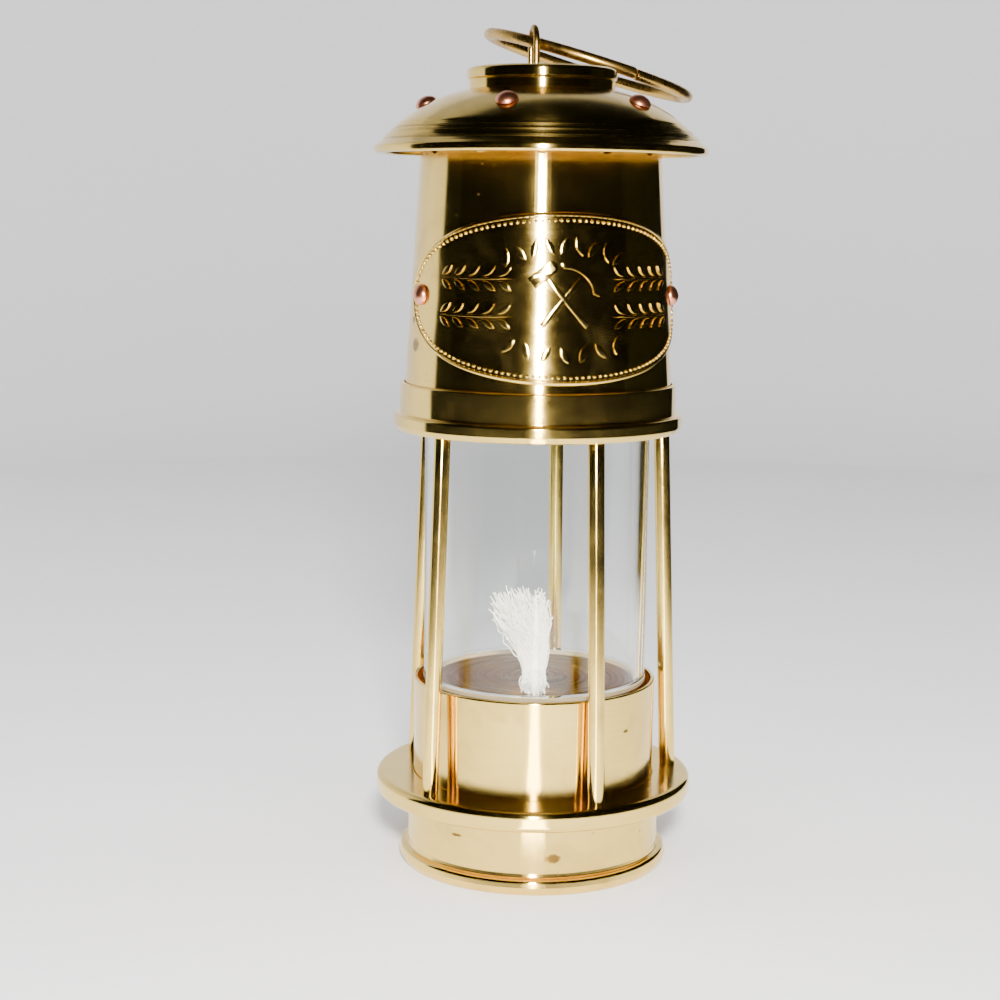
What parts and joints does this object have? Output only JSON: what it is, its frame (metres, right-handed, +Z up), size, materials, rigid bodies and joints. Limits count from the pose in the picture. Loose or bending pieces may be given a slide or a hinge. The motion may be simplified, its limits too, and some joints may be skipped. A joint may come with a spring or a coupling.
{
  "type": "safety lamp",
  "caption": "Brass miner's safety lamp: fuel vessel, glass between two rings on splayed pillars, tapered bonnet with oval plate, domed hood and carrying ring.",
  "frame": {"origin": "centre of the flat bottom of the fuel vessel, on the lamp's axis", "axes": "+Z up along the lamp's axis, front with the name plate towards -Y, +X to the right"},
  "size_m": [0.097, 0.1228, 0.2496],
  "materials": {
    "polished_brass": "polished, lightly lacquered yellow brass",
    "turned_brass": "turned, dull yellow brass",
    "brass_wire": "drawn brass wire",
    "stamped_brass": "stamped brass with raised ornament",
    "copper": "polished copper rivets",
    "steel_gauze": "woven steel wire, dark",
    "fibre_washer": "pressed fibre",
    "chimney_glass": "clear drawn glass",
    "cotton": "white braided cotton"
  },
  "bodies": {
    "cage": {"flange_ring": "polished_brass", "pillar_1": "polished_brass", "pillar_2": "polished_brass", "pillar_3": "polished_brass", "pillar_4": "polished_brass", "pillar_5": "polished_brass", "glass_ring": "polished_brass", "upper_glass_washer": "fibre_washer", "gauze_ring": "polished_brass", "gauze": "steel_gauze", "bonnet": "polished_brass", "crown_ring": "polished_brass", "hood": "polished_brass", "hood_rivets": "copper", "cap": "polished_brass", "hanger_staple": "brass_wire", "name_plate": "stamped_brass", "plate_rivets": "copper"},
    "glass": {"glass_chimney": "chimney_glass", "lower_glass_washer": "fibre_washer"},
    "vessel": {"vessel_shell": "polished_brass", "vessel_top_plate": "turned_brass", "vessel_bottom_plate": "polished_brass", "cotton_wadding": "cotton"},
    "burner_washer": {"burner_washer": "fibre_washer"},
    "burner": {"burner_plug": "turned_brass", "wick_tube": "turned_brass"},
    "wick": {"wick": "cotton"},
    "ring": {"carry_ring": "brass_wire"}
  },
  "joints": [
    {"name": "ring_swing", "type": "hinge", "parent": "cage", "child": "ring", "pos_m": [-0.0023, 0.01413, 0.24368], "axis": [0.7907, -0.5621, -0.2428], "range_deg": [0, 175]},
    {"name": "vessel_drop", "type": "slide", "parent": "cage", "child": "glass", "axis": [0, 0, -1], "range_m": [0, 0.006]},
    {"name": "vessel_turn", "type": "hinge", "parent": "glass", "child": "vessel", "pos_m": [0, 0, 0], "axis": [0, 0, -1], "range_deg": [0, 1440]},
    {"name": "burner_rise", "type": "slide", "parent": "vessel", "child": "burner_washer", "axis": [0, 0, 1], "range_m": [0, 0.003]},
    {"name": "burner_turn", "type": "hinge", "parent": "burner_washer", "child": "burner", "pos_m": [0, 0, 0.05], "axis": [0, 0, 1], "range_deg": [0, 1080]},
    {"name": "wick_feed", "type": "slide", "parent": "burner", "child": "wick", "axis": [0, 0, 1], "range_m": [0, 0.006]}
  ],
  "couplings": [
    {"joint": "vessel_drop", "follows": "vessel_turn", "m_per_rad": 0.00023873},
    {"joint": "burner_rise", "follows": "burner_turn", "m_per_rad": 0.00015915}
  ]
}
